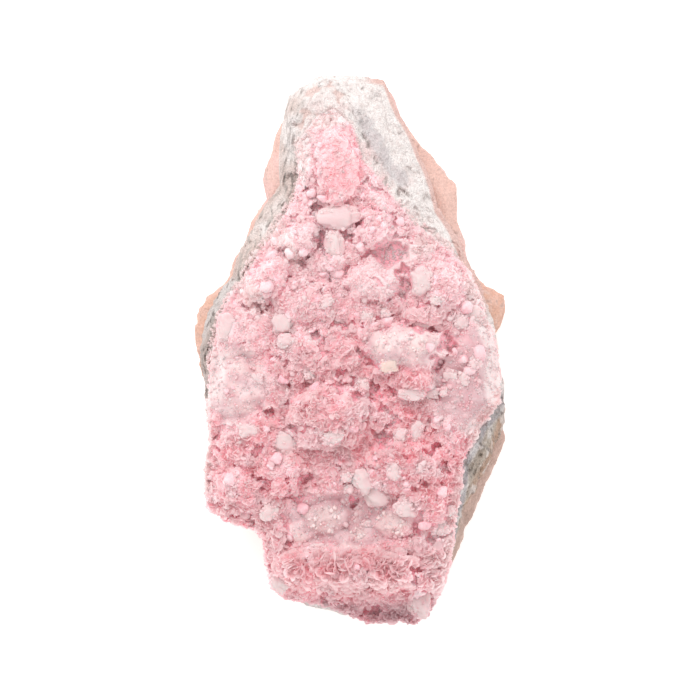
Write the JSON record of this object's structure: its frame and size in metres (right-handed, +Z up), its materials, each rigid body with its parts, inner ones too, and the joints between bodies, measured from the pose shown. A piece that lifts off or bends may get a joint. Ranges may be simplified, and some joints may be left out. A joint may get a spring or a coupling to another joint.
{
  "type": "mineral specimen",
  "caption": "Natural mineral specimen: a pink rhodochrosite crystal crust with milky quartz knobs on a quartz vein and salmon wall rock, lying on its broken flat back.",
  "frame": {"origin": "on the ground at the middle of the flat broken back that the specimen lies on", "axes": "+Z is up, out of the crystal crust; +Y runs along the specimen to its narrow tip; +X is to the right seen from above"},
  "size_m": [0.0575, 0.1009, 0.0264],
  "materials": {
    "wall_rock": "matt fine-grained salmon to tan host rock, broken",
    "vein_quartz": "chalky white to grey vein quartz, pitted and granular",
    "rhodochrosite": "pink bladed crystals with milky quartz knobs and frosted patches, waxy to glassy"
  },
  "bodies": {
    "root": {"wall_rock": "wall_rock", "quartz_vein": "vein_quartz", "rhodochrosite_crust": "rhodochrosite"}
  },
  "joints": []
}
